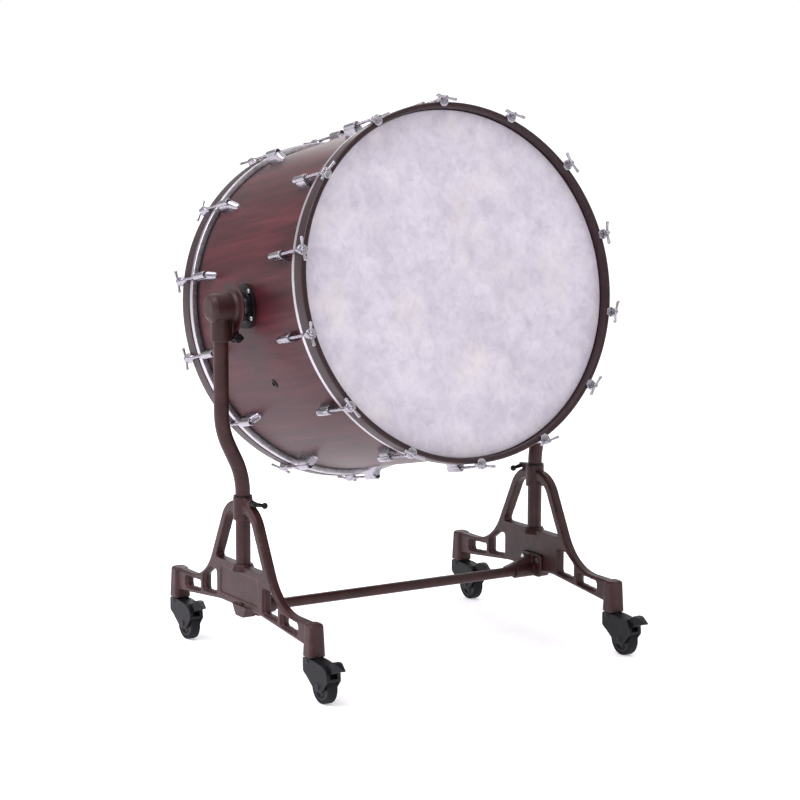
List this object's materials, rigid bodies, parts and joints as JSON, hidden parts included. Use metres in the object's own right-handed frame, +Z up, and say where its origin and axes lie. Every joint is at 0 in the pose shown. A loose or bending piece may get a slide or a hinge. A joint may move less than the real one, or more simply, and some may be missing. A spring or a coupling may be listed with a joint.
{
  "type": "concert bass drum on a tilting stand",
  "caption": "Concert bass drum with mottled film heads and claw-hook tension rods, hung by trunnions between height-adjustable uprights of a wheeled stand.",
  "frame": {"origin": "on the floor directly below the tilt axis, midway between the two uprights", "axes": "+X along the tilt axis towards the right upright, -Y towards the batter head, +Z up"},
  "size_m": [1, 0.8784, 1.3368],
  "materials": {
    "shell_veneer": "stained mahogany veneer, semi-gloss lacquer",
    "hoop_lacquer": "dark wine-brown lacquered wood",
    "head_film": "mottled calf-look film, satin",
    "hoop_aluminium": "satin aluminium",
    "bright_chrome": "bright chrome",
    "plated_steel": "zinc-plated steel",
    "ground_steel": "ground steel",
    "dark_casting": "dark satin paint on a casting",
    "stand_paint": "maroon-brown powder coat on aluminium",
    "bush_plastic": "dark acetal",
    "black_plastic": "black moulded plastic",
    "caster_plastic": "dark grey moulded nylon",
    "wheel_plastic": "grey moulded nylon",
    "tyre_rubber": "dark rubber tread"
  },
  "bodies": {
    "base": {"left_end_frame": "stand_paint", "left_guide_sleeve": "bush_plastic", "left_guide_rod": "ground_steel", "right_end_frame": "stand_paint", "right_guide_sleeve": "bush_plastic", "right_guide_rod": "ground_steel", "crossbar": "stand_paint", "crossbar_brackets": "stand_paint", "bracket_bolts": "plated_steel"},
    "drum": {"shell": "shell_veneer", "lug_casings": "bright_chrome", "lug_bolts": "plated_steel", "vent_grommet": "black_plastic", "flange_screws": "plated_steel", "batter_head": "head_film", "batter_flesh_hoop": "hoop_aluminium", "batter_counterhoop": "hoop_lacquer", "batter_claws": "bright_chrome", "batter_tension_rods": "bright_chrome", "resonant_head": "head_film", "resonant_flesh_hoop": "hoop_aluminium", "resonant_counterhoop": "hoop_lacquer", "resonant_claws": "bright_chrome", "resonant_tension_rods": "bright_chrome", "left_shell_flange": "dark_casting", "left_trunnion": "ground_steel", "right_shell_flange": "dark_casting", "right_trunnion": "ground_steel"},
    "left_upright": {"left_upright": "stand_paint", "left_pivot_head": "stand_paint", "left_pivot_bush": "bush_plastic", "left_guide_bush": "bush_plastic"},
    "left_tilt_lock": {"left_tilt_lock": "black_plastic"},
    "left_height_lock": {"left_height_lock": "black_plastic"},
    "right_upright": {"right_upright": "stand_paint", "right_pivot_head": "stand_paint", "right_pivot_bush": "bush_plastic", "right_guide_bush": "bush_plastic"},
    "right_tilt_lock": {"right_tilt_lock": "black_plastic"},
    "right_height_lock": {"right_height_lock": "black_plastic"},
    "front_left_caster": {"front_left_hood": "caster_plastic", "front_left_axle": "plated_steel"},
    "front_left_roller": {"front_left_wheel": "wheel_plastic", "front_left_tyre": "tyre_rubber"},
    "front_left_brake": {"front_left_pedal": "caster_plastic"},
    "front_right_caster": {"front_right_hood": "caster_plastic", "front_right_axle": "plated_steel"},
    "front_right_roller": {"front_right_wheel": "wheel_plastic", "front_right_tyre": "tyre_rubber"},
    "front_right_brake": {"front_right_pedal": "caster_plastic"},
    "back_left_caster": {"back_left_hood": "caster_plastic", "back_left_axle": "plated_steel"},
    "back_left_roller": {"back_left_wheel": "wheel_plastic", "back_left_tyre": "tyre_rubber"},
    "back_left_brake": {"back_left_pedal": "caster_plastic"},
    "back_right_caster": {"back_right_hood": "caster_plastic", "back_right_axle": "plated_steel"},
    "back_right_roller": {"back_right_wheel": "wheel_plastic", "back_right_tyre": "tyre_rubber"},
    "back_right_brake": {"back_right_pedal": "caster_plastic"}
  },
  "joints": [
    {"name": "left_lift", "type": "slide", "parent": "base", "child": "left_upright", "axis": [0, 0, 1], "range_m": [0, 0.12]},
    {"name": "right_lift", "type": "slide", "parent": "base", "child": "right_upright", "axis": [0, 0, 1], "range_m": [0, 0.12]},
    {"name": "drum_tilt", "type": "hinge", "parent": "left_upright", "child": "drum", "pos_m": [0, 0, 0.851], "axis": [1, 0, 0], "continuous": true},
    {"name": "left_tilt_lock_turn", "type": "hinge", "parent": "left_upright", "child": "left_tilt_lock", "pos_m": [-0.435, 0, 0.781], "axis": [0, 1, 0], "continuous": true},
    {"name": "left_height_lock_turn", "type": "hinge", "parent": "base", "child": "left_height_lock", "pos_m": [-0.414, -0.046, 0.3945], "axis": [0, 1, 0], "range_deg": [-60, 5]},
    {"name": "right_tilt_lock_turn", "type": "hinge", "parent": "right_upright", "child": "right_tilt_lock", "pos_m": [0.435, 0, 0.781], "axis": [0, 1, 0], "continuous": true},
    {"name": "right_height_lock_turn", "type": "hinge", "parent": "base", "child": "right_height_lock", "pos_m": [0.414, 0.046, 0.3945], "axis": [0, 1, 0], "range_deg": [-5, 60]},
    {"name": "front_left_swivel", "type": "hinge", "parent": "base", "child": "front_left_caster", "pos_m": [-0.414, -0.338, 0.11], "axis": [0, 0, 1], "continuous": true},
    {"name": "front_left_spin", "type": "hinge", "parent": "front_left_caster", "child": "front_left_roller", "pos_m": [-0.414, -0.386, 0.04], "axis": [1, 0, 0], "continuous": true},
    {"name": "front_left_brake_press", "type": "hinge", "parent": "front_left_caster", "child": "front_left_brake", "pos_m": [-0.414, -0.416, 0.078], "axis": [1, 0, 0], "range_deg": [0, 14]},
    {"name": "front_right_swivel", "type": "hinge", "parent": "base", "child": "front_right_caster", "pos_m": [0.414, -0.338, 0.11], "axis": [0, 0, 1], "continuous": true},
    {"name": "front_right_spin", "type": "hinge", "parent": "front_right_caster", "child": "front_right_roller", "pos_m": [0.414, -0.386, 0.04], "axis": [1, 0, 0], "continuous": true},
    {"name": "front_right_brake_press", "type": "hinge", "parent": "front_right_caster", "child": "front_right_brake", "pos_m": [0.414, -0.416, 0.078], "axis": [1, 0, 0], "range_deg": [0, 14]},
    {"name": "back_left_swivel", "type": "hinge", "parent": "base", "child": "back_left_caster", "pos_m": [-0.414, 0.338, 0.11], "axis": [0, 0, 1], "continuous": true},
    {"name": "back_left_spin", "type": "hinge", "parent": "back_left_caster", "child": "back_left_roller", "pos_m": [-0.414, 0.29, 0.04], "axis": [1, 0, 0], "continuous": true},
    {"name": "back_left_brake_press", "type": "hinge", "parent": "back_left_caster", "child": "back_left_brake", "pos_m": [-0.414, 0.26, 0.078], "axis": [1, 0, 0], "range_deg": [0, 14]},
    {"name": "back_right_swivel", "type": "hinge", "parent": "base", "child": "back_right_caster", "pos_m": [0.414, 0.338, 0.11], "axis": [0, 0, 1], "continuous": true},
    {"name": "back_right_spin", "type": "hinge", "parent": "back_right_caster", "child": "back_right_roller", "pos_m": [0.414, 0.29, 0.04], "axis": [1, 0, 0], "continuous": true},
    {"name": "back_right_brake_press", "type": "hinge", "parent": "back_right_caster", "child": "back_right_brake", "pos_m": [0.414, 0.26, 0.078], "axis": [1, 0, 0], "range_deg": [0, 14]}
  ],
  "couplings": [
    {"joint": "right_lift", "follows": "left_lift", "ratio": 1}
  ]
}
